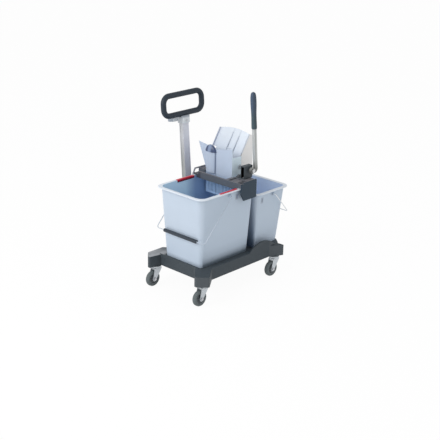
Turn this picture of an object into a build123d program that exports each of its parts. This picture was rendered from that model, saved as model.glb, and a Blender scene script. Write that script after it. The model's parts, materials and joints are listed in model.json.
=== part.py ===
"""Mop bucket trolley: two buckets side by side on a wheeled base, with a push handle and a lever press.

Millimetres, +Z up, floor at Z 0. X runs along the row of buckets, +Y points to the push handle.
While it is built, X 0 and Y 0 are the middle of the large bucket. The finished pieces are shifted
so that the origin is the bottom centre of the whole trolley.
"""

from build123d import *
import os
from math import cos, degrees, radians, sin

# Clearances
rest_gap = 0.3
running_gap = 0.05
seat_gap = 0.1
lift_gap = 1.2
past = 1.0

# Casters
wheel_diameter = 75.0
tread_width = 21.0
tread_round = 6.0
hub_diameter = 54.0
hub_width = 18.0
hub_web = 6.0
hub_rim = 4.0
hub_boss_diameter = 20.0
hub_boss_width = 23.0
axle_diameter = 8.0
axle_head_diameter = 14.0
axle_head_height = 4.0
swivel_trail = 22.0
fork_plate = 3.0
fork_side_gap = 2.5
fork_boss_radius = 11.0
fork_front = 20.0
fork_back = 20.0
crown_plate = 4.0
wheel_headroom = 9.0
race_height = 3.7
race_diameter = 40.0
kingpin_diameter = 12.0
kingpin_head_diameter = 18.0
kingpin_head_height = 3.0
flange_diameter = 48.0
flange_thickness = 5.0
stem_diameter = 16.0
stem_length = 36.0

# Base
base_height = 59.0
skirt_lift = 2.0
skirt_margin = 35.0
base_wall = 4.0
base_corner = 14.0
well_depth = 10.0
well_clearance = 2.0
deck_plate = 4.0
deck_margin_left = 13.0
deck_margin_right = 2.5
deck_cut_x = 30.0
deck_cut_y = 37.0
ear_drop = 4.0
left_ear_reach = 60.0
left_ear_stand_out = 48.0
left_ear_width = 53.0
left_ear_chamfer_x = 38.0
left_ear_chamfer_y = 40.0
front_ear_root_width = 112.0
front_ear_length = 44.0
front_ear_flank = 68.0
front_ear_fall = 8.5
rear_ear_root_width = 63.0
rear_ear_length = 130.0
rear_ear_flank = 44.0
right_ear_inset = 23.0
right_ear_root = 21.0
right_ear_length = 68.0
right_ear_stand_out = 32.0
right_ear_rake = 6.0
swivel_from_left_end = 47.0
swivel_from_right_end = 58.5
swivel_stand_out = 3.0
lug_length = 185.0
lug_height = 36.0
lug_thickness = 8.0
lug_from_end = 49.5

# Large bucket
large_foot_length = 307.0
large_mouth_length = 356.0
large_foot_width = 230.0
large_mouth_width = 273.0
large_height = 343.7
large_foot_corner = 16.0
large_mouth_corner = 36.0
large_lip_left = 13.0
large_lip_right = 2.5

# Small bucket
small_foot_length = 163.0
small_mouth_length = 212.0
small_foot_width = 230.0
small_mouth_width = 266.0
small_height = 280.7
small_foot_corner = 16.0
small_mouth_corner = 26.0
small_lip_left = 4.0
small_lip_right = 16.0
small_foot_shift = -11.5
bucket_spacing = 2.0

# Both buckets
bucket_wall = 3.0
lip_side = 13.0
lip_thickness = 3.5
lip_turn = 5.0
lip_corner = 38.0
lip_turn_wall = 3.0
bail_wire = 4.0
bail_bend = 14.0
bail_pin_bend = 5.0
bail_side_gap = 2.5
bail_boss_diameter = 14.0
bail_boss_face_gap = 3.0
bail_pin_depth = 9.0
bail_pivot_drop = 20.0
grip_sleeve_diameter = 17.0
large_bail_drop = 185.0
large_bail_stand_off = 1.5
large_sleeve_length = 205.0
small_bail_drop = 107.0
small_bail_stand_off = 8.0
small_sleeve_length = 150.0
small_bail_shift = 10.0
mark_length = 20.0
mark_width = 9.0
mark_depth = 1.2
mark_drop = 38.0
large_mark_from_end = 126.5
small_mark_from_end = 44.0

# Colour clips
clip_length = 108.0
clip_left = 9.0
clip_thickness = 2.0
clip_flange = 10.0
clip_top = 10.0

# Push handle
post_width = 40.0
post_depth = 26.0
post_corner = 3.0
post_wall = 2.0
post_length = 640.0
post_lean = 4.7
post_stand_off = 6.5
post_left = 7.25
socket_width = 62.0
socket_wall = 9.0
socket_height = 22.0
socket_floor = 14.0
post_screw_diameter = 6.0
post_screw_head = 12.0
post_screw_head_height = 3.0
post_screw_pitch = 26.0
collar_width = 50.0
collar_depth = 38.0
collar_corner = 8.0
collar_height = 36.0
collar_overlap = 26.0
loop_length = 244.0
loop_height = 92.0
loop_corner = 34.0
loop_tube = 26.0
loop_sink = 5.0
holder_bore = 25.0
holder_wall = 4.5
holder_height = 14.0
holder_lift = 8.0
holder_spacing = 76.0
holder_offset = 42.0
holder_bar = 12.0
holder_mouth_angle = 100.0

# Press frame
frame_from_mouth_end = 11.5
frame_length = 108.0
rail_width = 10.0
rail_depth = 32.0
frame_height = 21.0
platform_lip = 5.0
frame_side_gap = 1.0
apron_thickness = 6.0
apron_gap = 1.5
apron_length = 85.5
apron_inset = 14.0
apron_drop = 59.0
apron_rise = 7.0
apron_bulge = 22.0
apron_shoulder = 14.0
apron_cut = 40.0
far_apron_inset = 12.0
far_apron_length = 70.0
far_window_length = 24.0
far_window_border = 4.0
far_window_top = 6.0
far_bar_height = 8.0

# Press hopper
hopper_wall = 3.0
chamber_depth = 34.0
chamber_drop = 88.0
chamber_near = 44.0
chamber_far = 115.0
front_near_rise = 150.0
front_dip_rise = 131.0
front_dip_offset = 17.5
front_far_rise = 142.5
wing_reach = 49.0
wing_rise = 149.0
wing_root_rise = 29.0
side_wall_rise = 110.0
back_wall_rise = 95.0
side_wall_overhang = 23.0
side_wall_slope = 2.0
side_wall_notch = 5.0
flange_width = 13.0
flange_plate = 3.0
flange_recess = 6.5
column_half_width = 30.0
column_bulge = 14.0
column_rise = 115.0
column_offset = 49.5
column_cap_half_width = 33.5
column_cap_depth = 16.0
column_cap_height = 33.0
column_cap_wall = 2.5
slot_width = 3.0
slot_pitch = 9.0
slot_length = 66.0
slot_lift = 4.0
grid_border = 2.0
grid_plate = 3.5
grid_ledge = 3.0

# Back panel and rear cover
panel_set_back = 10.0
panel_lean = 32.0
panel_length = 124.0
panel_plate = 3.0
panel_spread_near = 3.0
panel_spread_far = 23.0
panel_rim_width = 4.0
panel_rim_height = 7.0
panel_crown = 13.0
panel_straight = 30.0
panel_rib_height = 3.5
panel_rib_width = 4.0
near_rib_offset = -27.5
near_rib_low = 28.0
near_rib_high = 103.0
far_rib_offset = 14.5
far_rib_low = 35.0
far_rib_high = 115.0
rib_foot_length = 26.0
cover_plate = 3.0
cover_depth = 24.0
cover_foot_height = 15.0
cover_knee_rise = 55.0
cover_drop = 6.0
cover_screw_inset = 12.0
cover_screw_diameter = 4.0
cover_screw_head = 8.0
cover_screw_head_height = 2.4
frame_screw_diameter = 5.0
frame_screw_head = 9.0
frame_screw_head_height = 3.0
frame_screw_length = 14.0
frame_screw_slack = 1.0

# Lever, shaft and press plate
shaft_diameter = 12.0
shaft_from_mouth_end = 18.5
shaft_behind_wall = 11.0
shaft_rise = 59.0
shaft_end = 3.0
bush_wall = 3.0
bush_flange = 2.0
bush_flange_diameter = 24.0
bracket_plate = 4.0
bracket_gap = 1.0
bracket_crown = 22.0
bracket_flange_gap = 1.0
bracket_depth = 24.0
bracket_shoulder = 22.0
bracket_from_apron = 43.5
lever_gap = 4.0
lever_width_x = 16.0
lever_width_y = 14.0
lever_eye_diameter = 28.0
lever_foot_reach = 25.0
lever_foot_drop = 13.0
lever_bend = 12.0
lever_rise = 365.0
lever_lean = 5.0
lever_grip_length = 176.0
lever_grip_diameter = 28.0
lever_bolt_diameter = 18.0
lever_bolt_height = 5.0
press_travel = 18.0
lever_range = 60.0
crank_thickness = 6.0
crank_clamp_diameter = 20.0
crank_pin_diameter = 6.0
crank_pin_slack = 0.5
crank_side_gap = 1.0
window_gap = 1.5
yoke_thickness = 6.0
yoke_spacing = 70.0
yoke_shaft_gap = 2.0
yoke_crown = 6.0
yoke_end = 4.0
yoke_screw_diameter = 4.0
yoke_screw_depth = 7.5
plate_thickness = 5.0
plate_side_gap = 1.0
plate_top_gap = 3.0
plate_tongue = 8.0
plate_back_gap = 2.0
tongue_from_bottom = 24.0
tongue_from_rim = 16.0

# Heights that follow from the casters up
wheel_radius = wheel_diameter / 2
crown_bottom = wheel_diameter + wheel_headroom
crown_top = crown_bottom + crown_plate
race_top = crown_top + race_height
flange_bottom = race_top + rest_gap
ear_bottom = flange_bottom + flange_thickness
deck_top = ear_bottom + base_height
ear_top = deck_top - ear_drop
skirt_bottom = ear_bottom + skirt_lift
well_floor = deck_top - well_depth
bucket_floor = well_floor + rest_gap
large_rim = bucket_floor + large_height


def block(x0, x1, y0, y1, z0, z1):
    """Box between two corners."""
    place = Pos((x0 + x1) / 2, (y0 + y1) / 2, (z0 + z1) / 2)
    return place * Box(x1 - x0, y1 - y0, z1 - z0)


def rod(start, end, radius):
    """Round bar from one point to another."""
    line = Vector(end) - Vector(start)
    foot = (Align.CENTER, Align.CENTER, Align.MIN)
    return Plane(origin=start, z_dir=line) * Cylinder(radius, line.length, align=foot)


def outline_xz(points, y0, y1):
    """Plate with a straight-sided outline in X and Z, from y0 to y1."""
    face = make_face(Plane.XZ.offset(-y0) * Polyline(*points, close=True))
    return extrude(face, amount=y1 - y0, dir=(0, 1, 0))


def outline_xy(points, z0, z1):
    """Plate with a straight-sided outline in X and Y, from z0 to z1."""
    face = make_face(Plane.XY.offset(z0) * Polyline(*points, close=True))
    return extrude(face, amount=z1 - z0)


def bent_bar(points, bend, section):
    """Section swept along straight runs with rounded bends."""
    path = FilletPolyline(*points, radius=bend)
    start = Plane(origin=path @ 0, x_dir=(0, 1, 0), z_dir=path % 0)
    return sweep(start * section, path=path)


def group(solids):
    """Several separate solids as one piece."""
    return Compound(children=list(solids))


class Tub:
    """Tapered bucket body. Sizes change evenly from the foot to the mouth."""

    def __init__(self, foot, mouth, height):
        self.foot = foot
        self.mouth = mouth
        self.height = height
        self.rim = bucket_floor + height

    def at(self, z):
        """Left end, right end, half width and corner radius at a height."""
        share = (z - bucket_floor) / self.height
        return [low + share * (high - low) for low, high in zip(self.foot, self.mouth)]

    def outline(self, z, inset=0.0, place=None):
        """Rounded outline at a height, drawn at another height if one is given."""
        left, right, half, corner = self.at(z)
        shape = RectangleRounded(right - left - 2 * inset, 2 * (half - inset), corner - inset)
        return Pos((left + right) / 2, 0, z if place is None else place) * shape

    def left(self, z):
        return self.at(z)[0]

    def right(self, z):
        return self.at(z)[1]

    def half(self, z):
        return self.at(z)[2]


large_half = large_mouth_length / 2
large = Tub(
    (-large_foot_length / 2, large_foot_length / 2, large_foot_width / 2, large_foot_corner),
    (-large_half, large_half, large_mouth_width / 2, large_mouth_corner),
    large_height,
)
small_mouth_left = large_half + large_lip_right + bucket_spacing + small_lip_left
small_mouth_right = small_mouth_left + small_mouth_length
small_middle = (small_mouth_left + small_mouth_right) / 2
small_foot_middle = small_middle + small_foot_shift
small = Tub(
    (
        small_foot_middle - small_foot_length / 2,
        small_foot_middle + small_foot_length / 2,
        small_foot_width / 2,
        small_foot_corner,
    ),
    (small_mouth_left, small_mouth_right, small_mouth_width / 2, small_mouth_corner),
    small_height,
)

# Plan of the base
skirt_left = large.left(bucket_floor) - deck_margin_left
base_right = small.right(bucket_floor) + deck_margin_right
base_left = skirt_left - left_ear_reach
base_middle = (base_left + base_right) / 2 - post_left
skirt_half = large_foot_width / 2 + skirt_margin
swivel_y = skirt_half + swivel_stand_out
swivel_xs = {"left": base_left + swivel_from_left_end, "right": base_right - swivel_from_right_end}
swivel_ys = {"front": -swivel_y, "rear": swivel_y}

# Places of the press
frame_right = large_half - frame_from_mouth_end
frame_left = frame_right - frame_length
frame_bottom = large_rim + rest_gap
frame_top = frame_bottom + frame_height
lip_half = large_mouth_width / 2 + lip_side
apron_inner = lip_half + apron_gap
apron_outer = apron_inner + apron_thickness
shaft_x = large_half - shaft_from_mouth_end
shaft_z = large_rim + shaft_rise
back_wall_x = shaft_x - shaft_behind_wall - hopper_wall
chamber_front = back_wall_x - chamber_depth
hopper_front = chamber_front - hopper_wall
chamber_bottom = large_rim - chamber_drop
hopper_near = -chamber_near - hopper_wall
hopper_far = chamber_far + hopper_wall
chamber_middle = (chamber_far - chamber_near) / 2
column_y = chamber_middle + column_offset
column_top = large_rim + column_rise
hopper_seat = frame_top - flange_recess + seat_gap


def caster_stem(x, y):
    """Fixed top plate, shank in the ear and kingpin through the fork."""
    top = ear_bottom + stem_length
    pin_end = crown_bottom - rest_gap - kingpin_head_height
    plate = rod((x, y, flange_bottom), (x, y, ear_bottom), flange_diameter / 2)
    shank = rod((x, y, flange_bottom), (x, y, top), stem_diameter / 2)
    pin = rod((x, y, pin_end), (x, y, ear_bottom), kingpin_diameter / 2)
    head = rod((x, y, pin_end), (x, y, pin_end + kingpin_head_height), kingpin_head_diameter / 2)
    return plate + shank + pin + head


def caster_fork(x, y):
    """Pressed fork: crown, race and two tapering legs."""
    axle_x = x - swivel_trail
    inner = tread_width / 2 + fork_side_gap
    outer = inner + fork_plate
    back = x - fork_back
    front = x + fork_front
    crown = block(back, front, y - outer, y + outer, crown_bottom, crown_top)
    race = rod((x, y, crown_bottom), (x, y, race_top), race_diameter / 2)
    leg_points = (
        (back, crown_top),
        (front, crown_top),
        (front, crown_bottom - fork_plate),
        (axle_x + fork_boss_radius, wheel_radius),
        (axle_x - fork_boss_radius, wheel_radius),
    )
    shape = crown + race
    for low in (y - outer, y + inner):
        shape += outline_xz(leg_points, low, low + fork_plate)
        shape += rod((axle_x, low, wheel_radius), (axle_x, low + fork_plate, wheel_radius), fork_boss_radius)
    hole = kingpin_diameter / 2 + running_gap
    shape -= rod((x, y, crown_bottom - past), (x, y, race_top + past), hole)
    axle_hole = axle_diameter / 2 + running_gap
    end = outer + past
    shape -= rod((axle_x, y - end, wheel_radius), (axle_x, y + end, wheel_radius), axle_hole)
    return shape


def caster_axle(x, y):
    """Riveted axle with a head outside each leg."""
    axle_x = x - swivel_trail
    reach = tread_width / 2 + fork_side_gap + fork_plate + seat_gap
    end = reach + axle_head_height
    shape = rod((axle_x, y - end, wheel_radius), (axle_x, y + end, wheel_radius), axle_diameter / 2)
    for side in (-1, 1):
        low = (axle_x, y + side * reach, wheel_radius)
        high = (axle_x, y + side * end, wheel_radius)
        shape += rod(low, high, axle_head_diameter / 2)
    return shape


def turned_y(profile, x, y):
    """Radius and width points turned about a wheel's axle."""
    face = make_face(Plane.YZ * Polyline(*[(w, r) for r, w in profile], close=True))
    return Pos(x - swivel_trail, y, wheel_radius) * revolve(face, axis=Axis.Y)


def caster_hub(x, y):
    """Moulded wheel centre: boss, web and rim."""
    bore = axle_diameter / 2 + running_gap
    boss = hub_boss_diameter / 2
    rim = hub_diameter / 2
    profile = [
        (bore, -hub_boss_width / 2),
        (boss, -hub_boss_width / 2),
        (boss, -hub_web / 2),
        (rim - hub_rim, -hub_web / 2),
        (rim - hub_rim, -hub_width / 2),
        (rim, -hub_width / 2),
    ]
    mirrored = [(r, -w) for r, w in reversed(profile)]
    return turned_y(profile + mirrored, x, y)


def caster_tyre(x, y):
    """Grey tyre with a rounded tread."""
    inner = hub_diameter / 2
    half = tread_width / 2
    shape = turned_y([(inner, -half), (wheel_radius, -half), (wheel_radius, half), (inner, half)], x, y)
    edges = shape.edges().filter_by(GeomType.CIRCLE).sort_by(SortBy.RADIUS)[-2:]
    return fillet(edges, tread_round)


def left_ear(side_y, root_width, length, flank, top):
    """Caster ear at the left end: a chamfered block that stands out past both faces of the skirt."""
    out = skirt_half + left_ear_stand_out
    heel = base_left + length
    points = (
        (skirt_left + base_wall, out - root_width),
        (base_left, out - left_ear_width),
        (base_left, out - left_ear_chamfer_y),
        (base_left + left_ear_chamfer_x, out),
        (heel, out),
        (heel + flank, skirt_half - base_wall),
    )
    return outline_xy([(x, side_y * y) for x, y in points], ear_bottom, top)


def front_left_ear():
    """Diagonal arm whose top runs on from the deck and falls towards its end."""
    arm = left_ear(-1, front_ear_root_width, front_ear_length, front_ear_flank, deck_top)
    fall = sin(radians(front_ear_fall))
    corner = (skirt_left, -skirt_half, deck_top)
    above = Plane(origin=corner, z_dir=(-fall, -fall, cos(radians(front_ear_fall))))
    reach = 2 * (left_ear_reach + left_ear_stand_out)
    return arm - above * Box(reach, reach, reach, align=(Align.CENTER, Align.CENTER, Align.MIN))


def right_ear(side_y):
    """Caster ear at the right end: a smaller block set back from the end of the deck."""
    right = base_right - right_ear_inset
    left = right - right_ear_length
    points = (
        (left, skirt_half - right_ear_root),
        (left, skirt_half),
        (right, skirt_half + right_ear_stand_out),
        (right - right_ear_rake, skirt_half - right_ear_root),
    )
    return outline_xy([(x, side_y * y) for x, y in points], ear_bottom, ear_top)


def lug(side_y):
    """Low arched lug that keeps the small bucket's foot in place."""
    right = base_right - lug_from_end
    left = right - lug_length
    middle = (left + right) / 2
    low = skirt_half - lug_thickness if side_y > 0 else -skirt_half
    top = deck_top + lug_height
    base_line = Line((left, deck_top - deck_plate), (right, deck_top - deck_plate))
    arch = ThreePointArc((right, deck_top - deck_plate), (middle, top), (left, deck_top - deck_plate))
    face = make_face(Plane.XZ.offset(-low) * (base_line + arch))
    return extrude(face, amount=lug_thickness, dir=(0, 1, 0))


# The post leans back from its foot in the socket at the rear edge of the base
socket_depth = post_depth + 2 * socket_wall
post_foot_z = skirt_bottom + socket_floor
post_foot_y = skirt_half + post_depth / 2 + post_stand_off
post_frame = Location((base_middle, post_foot_y, post_foot_z), (-post_lean, 0, 0))
lean_reach = sin(radians(post_lean))


def post_outline(grow=0.0):
    return RectangleRounded(post_width + 2 * grow, post_depth + 2 * grow, post_corner + grow)


def post_screw_heights():
    top = deck_top + socket_height - post_foot_z
    return [top - post_screw_head, top - post_screw_head - post_screw_pitch]


def deck_plan():
    """Outline of the deck: rounded at the left, with both right corners cut off."""
    length = base_right - skirt_left
    middle = (skirt_left + base_right) / 2
    plan = Pos(middle, 0) * RectangleRounded(length, 2 * skirt_half, base_corner)
    for side_y in (-1, 1):
        inner = (base_right - deck_cut_x, side_y * skirt_half)
        outer = (base_right, side_y * (skirt_half - deck_cut_y))
        plan -= make_face(Polyline(inner, outer, (base_right, side_y * skirt_half), close=True))
    return plan


def base_deck():
    """Moulded base: deck with two wells, skirts, ears, lugs and the post's socket."""
    plan = deck_plan()
    shape = extrude(Pos(0, 0, skirt_bottom) * plan, amount=deck_top - skirt_bottom)
    shape += front_left_ear()
    shape += left_ear(1, rear_ear_root_width, rear_ear_length, rear_ear_flank, ear_top)
    hollow = Pos(0, 0, ear_bottom - past) * offset(plan, amount=-base_wall)
    shape -= extrude(hollow, amount=well_floor - deck_plate - ear_bottom + past)
    for side_y in (-1, 1):
        shape += lug(side_y) + right_ear(side_y)
    socket_y = skirt_half - base_wall
    shape += block(
        base_middle - socket_width / 2,
        base_middle + socket_width / 2,
        socket_y,
        post_foot_y + post_depth / 2 + socket_wall + socket_depth * lean_reach,
        skirt_bottom,
        deck_top + socket_height,
    )
    for tub in (large, small):
        well = tub.outline(bucket_floor, -well_clearance, well_floor)
        shape -= extrude(well, amount=well_depth + lug_height)
    for x in swivel_xs.values():
        for y in swivel_ys.values():
            top = ear_bottom + stem_length + seat_gap
            shape -= rod((x, y, ear_bottom - past), (x, y, top), stem_diameter / 2 + seat_gap)
    shape -= post_frame * extrude(post_outline(seat_gap), amount=post_length)
    for height in post_screw_heights():
        shape -= post_screw(height, seat_gap)
    return shape


def post_screw(height, grow=0.0):
    """Screw from the rear through the socket wall into the post."""
    outside = post_depth / 2 + socket_wall + socket_depth
    seat = post_depth / 2 + socket_wall - post_screw_head_height
    shank = rod((0, 0, height), (0, seat + seat_gap, height), post_screw_diameter / 2 + grow)
    length = outside if grow else seat + post_screw_head_height
    head = rod((0, seat - grow, height), (0, length, height), post_screw_head / 2 + grow)
    return post_frame * (shank + head)


def post_screws():
    return group(post_screw(height) for height in post_screw_heights())


def handle_post():
    """Rectangular aluminium tube."""
    shape = extrude(post_outline(), amount=post_length)
    shape -= extrude(post_outline(-post_wall), amount=post_length)
    for height in post_screw_heights():
        hole = post_screw_diameter / 2 + seat_gap
        shape -= rod((0, 0, height), (0, post_depth, height), hole)
    top = post_length - collar_overlap / 2
    shape -= rod((0, 0, top), (0, -post_depth, top), post_screw_diameter / 2 + seat_gap)
    return post_frame * shape


loop_bottom = post_length - collar_overlap + collar_height + loop_tube / 2 - loop_sink


def loop_path():
    low = loop_bottom
    high = loop_bottom + loop_height
    half = loop_length / 2
    points = ((half, 0, low), (half, 0, high), (-half, 0, high), (-half, 0, low))
    return FilletPolyline(*points, radius=loop_corner, close=True)


def handle_loop():
    """Closed rounded grip loop above the collar."""
    path = loop_path()
    start = Plane(origin=path @ 0, z_dir=path % 0)
    return post_frame * sweep(start * Circle(loop_tube / 2), path=path)


def handle_collar():
    """Neck that caps the post and cradles the loop's lower bar."""
    low = post_length - collar_overlap
    outer = RectangleRounded(collar_width, collar_depth, collar_corner)
    shape = extrude(Pos(0, 0, low) * outer, amount=collar_height)
    pocket = Pos(0, 0, low - past) * post_outline(seat_gap)
    shape -= extrude(pocket, amount=collar_overlap + past + seat_gap)
    cradle = loop_tube / 2 + running_gap
    shape -= rod((-collar_width, 0, loop_bottom), (collar_width, 0, loop_bottom), cradle)
    top = post_length - collar_overlap / 2
    shape -= rod((0, 0, top), (0, -collar_depth, top), post_screw_diameter / 2 + seat_gap)
    return post_frame * shape


def collar_screw():
    """Screw from the front that holds the collar on the post."""
    top = post_length - collar_overlap / 2
    face = collar_depth / 2 + seat_gap
    depth = post_depth / 2 - post_wall
    shank = rod((0, -depth + post_wall, top), (0, -face - past, top), post_screw_diameter / 2)
    head = rod((0, -face, top), (0, -face - post_screw_head_height, top), post_screw_head / 2)
    return post_frame * (shank + head)


def tool_holder():
    """Two open clips behind the collar, for the handles of the tools."""
    low = post_length - collar_overlap + holder_lift
    high = low + holder_height
    front = collar_depth / 2
    half = holder_spacing / 2
    outer = holder_bore / 2 + holder_wall
    shape = block(-half, half, front, front + holder_bar, low, high)
    mouth = outer * 2
    for side in (-1, 1):
        center = (side * half, holder_offset)
        arm = block(center[0] - outer / 2, center[0] + outer / 2, front, holder_offset, low, high)
        shape += arm + rod((*center, low), (*center, high), outer)
    for side in (-1, 1):
        center = (side * half, holder_offset)
        shape -= rod((*center, low - past), (*center, high + past), holder_bore / 2)
        spread = mouth * sin(radians(holder_mouth_angle / 2))
        rise = mouth * cos(radians(holder_mouth_angle / 2))
        wedge = (center, (center[0] + spread, center[1] + rise), (center[0] - spread, center[1] + rise))
        shape -= outline_xy(wedge, low - past, high + past)
    return post_frame * shape


def bucket(tub, lip_left, lip_right, pivot_x, marks_x):
    """Tapered shell with a turned-down lip, two pivot bosses and an oval mark on each long side."""
    outer = loft([tub.outline(bucket_floor), tub.outline(tub.rim)], ruled=True)
    inner_floor = bucket_floor + bucket_wall
    inner_ends = [tub.outline(inner_floor, bucket_wall), tub.outline(tub.rim + past, bucket_wall)]
    inner = loft(inner_ends, ruled=True)
    left, right, half, _ = tub.at(tub.rim)
    lip_length = right - left + lip_left + lip_right
    lip_middle = (left - lip_left + right + lip_right) / 2
    lip = RectangleRounded(lip_length, 2 * (half + lip_side), lip_corner)
    turned = RectangleRounded(
        lip_length - 2 * lip_turn_wall, 2 * (half + lip_side - lip_turn_wall), lip_corner - lip_turn_wall
    )
    flange = extrude(Pos(lip_middle, 0, tub.rim - lip_turn) * lip, amount=lip_turn)
    under = extrude(Pos(lip_middle, 0, tub.rim - lip_turn) * turned, amount=lip_turn - lip_thickness)
    shape = outer + (flange - under)
    pivot_z = tub.rim - bail_pivot_drop
    boss_end = half + lip_side - bail_boss_face_gap
    for side in (-1, 1):
        boss_start = (pivot_x, side * (tub.half(pivot_z) - bucket_wall / 2), pivot_z)
        shape += rod(boss_start, (pivot_x, side * boss_end, pivot_z), bail_boss_diameter / 2)
    shape -= inner
    for side in (-1, 1):
        hole_start = (pivot_x, side * (boss_end - bail_pin_depth - seat_gap), pivot_z)
        hole_end = (pivot_x, side * (boss_end + past), pivot_z)
        shape -= rod(hole_start, hole_end, bail_wire / 2 + running_gap)
        mark_z = tub.rim - mark_drop
        face_y = side * (tub.half(mark_z - mark_length / 2) - mark_depth)
        mark = Pos(marks_x, 0, mark_z) * Rot(90, 0, 0) * Rot(0, 0, 90) * SlotOverall(mark_length, mark_width)
        shape -= Pos(0, face_y, 0) * extrude(mark, amount=bucket_wall * 2, dir=(0, side, 0))
    return shape


def bail_points(tub, pivot_x, drop, stand_off, side_x):
    """Corner points of a bail wire that hangs beside one end wall, and its pivot."""
    pivot_z = tub.rim - bail_pivot_drop
    bar_z = pivot_z - drop
    wall = tub.left(bar_z) if side_x < 0 else tub.right(bar_z)
    bar_x = wall + side_x * (grip_sleeve_diameter / 2 + stand_off)
    half = tub.half(tub.rim) + lip_side
    leg_y = half + bail_side_gap + bail_wire / 2
    pin_y = half - bail_boss_face_gap - bail_pin_depth
    near = [(pivot_x, -pin_y, pivot_z), (pivot_x, -leg_y, pivot_z), (bar_x, -leg_y, bar_z)]
    far = [(x, -y, z) for x, y, z in reversed(near)]
    return near + far


def bail(points):
    """Bent wire bail with an inward pin at each end."""
    bends = [bail_pin_bend, bail_bend, bail_bend, bail_pin_bend]
    path = FilletPolyline(*points, radius=bends)
    start = Plane(origin=path @ 0, z_dir=path % 0)
    return sweep(start * Circle(bail_wire / 2), path=path)


def bail_grip(points, length):
    """Plastic sleeve on the bail's bar."""
    x, _, z = points[2]
    sleeve = rod((x, -length / 2, z), (x, length / 2, z), grip_sleeve_diameter / 2)
    return sleeve - rod((x, -length, z), (x, length, z), bail_wire / 2 + running_gap)


large_pivot_x = 0.0
small_pivot_x = small_middle + small_bail_shift
large_bail_points = bail_points(large, large_pivot_x, large_bail_drop, large_bail_stand_off, -1)
small_bail_points = bail_points(small, small_pivot_x, small_bail_drop, small_bail_stand_off, 1)


def colour_clip(side_y):
    """Red angle clip on the top edge of the large bucket's long rim."""
    inner = large.half(large_rim) - bucket_wall
    low = large_rim - clip_flange
    face = large.half(low) - bucket_wall - seat_gap
    left = -clip_length / 2 - clip_left
    right = left + clip_length
    high = large_rim + clip_thickness
    shape = block(left, right, face - clip_thickness, face, low, high)
    shape += block(left, right, face - clip_thickness, inner + clip_top, large_rim, high)
    return shape if side_y > 0 else mirror(shape, about=Plane.XZ)


def apron(side_y, left, length):
    """Plate that hangs outside a long rim and keeps the frame from sliding."""
    right = left + length
    top = frame_top + apron_rise
    low = large_rim - apron_drop
    points = (
        (left, top),
        (left - apron_bulge, large_rim - apron_shoulder),
        (left - apron_bulge, low + apron_cut),
        (left, low),
        (right, low),
        (right, top),
    )
    y0 = apron_inner if side_y > 0 else -apron_outer
    return outline_xz(points, y0, y0 + apron_thickness)


def far_window(left):
    """Opening in the far apron above the rim, with a slanted left side."""
    low = frame_bottom + far_window_border
    high = frame_top + apron_rise - far_window_top
    points = (
        (left + far_window_border - apron_bulge / 2, low),
        (left + far_window_border + far_window_length, low),
        (left + far_window_border + far_window_length, high),
        (left + far_window_border, high),
    )
    return outline_xz(points, apron_inner - past, apron_outer + past)


def press_frame():
    """Dark frame across the large bucket: two platforms, two rails and two aprons."""
    inside = large.half(large_rim - rail_depth) - bucket_wall - frame_side_gap
    near_edge = hopper_near - frame_side_gap
    far_edge = hopper_far + frame_side_gap
    far_left = frame_left + far_apron_inset
    far_platform = far_left + 2 * far_window_border + far_window_length
    shape = block(frame_left, frame_right, -apron_outer, near_edge, frame_bottom, frame_top)
    shape += block(far_platform, frame_right, far_edge, apron_outer, frame_bottom, frame_top)
    far_bar_top = frame_bottom + far_bar_height
    shape += block(frame_left, frame_left + rail_width, far_edge, apron_outer, frame_bottom, far_bar_top)
    shape -= block(
        frame_left + platform_lip,
        bracket_left - platform_lip,
        -apron_outer + platform_lip,
        near_edge - flange_width - platform_lip,
        frame_top - platform_lip,
        frame_top + past,
    )
    for left in (frame_left, frame_right - rail_width):
        reach = inside if left == frame_left else inside - large_mouth_corner
        right = left + rail_width
        shape += block(left, right, near_edge - past, far_edge + past, frame_bottom, frame_top)
        shape += block(left, right, -reach, reach, frame_top - rail_depth, frame_bottom + past)
    near_left = frame_left + apron_inset
    for low, high, end in (
        (-apron_outer, -apron_inner, near_left + apron_length),
        (apron_inner, apron_outer, far_left + far_apron_length),
    ):
        shape -= block(end, frame_right + past, low - past, high + past, frame_bottom - past, frame_top + past)
    shape += apron(-1, near_left, apron_length)
    shape += apron(1, far_left, far_apron_length) - far_window(far_left)
    pocket_left = hopper_front - rest_gap
    pocket_right = back_wall_x + hopper_wall + rest_gap
    pocket_low = frame_top - flange_recess
    reach = flange_width + rest_gap
    for low, high in ((hopper_near - reach, near_edge + past), (far_edge - past, hopper_far + reach)):
        shape -= block(pocket_left, pocket_right, low, high, pocket_low, frame_top + past)
    hole = frame_screw_diameter / 2 + seat_gap
    for x, y in frame_screw_places() + bracket_screw_places():
        shape -= rod((x, y, frame_top - frame_screw_length), (x, y, frame_top + past), hole)
    return shape


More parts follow.
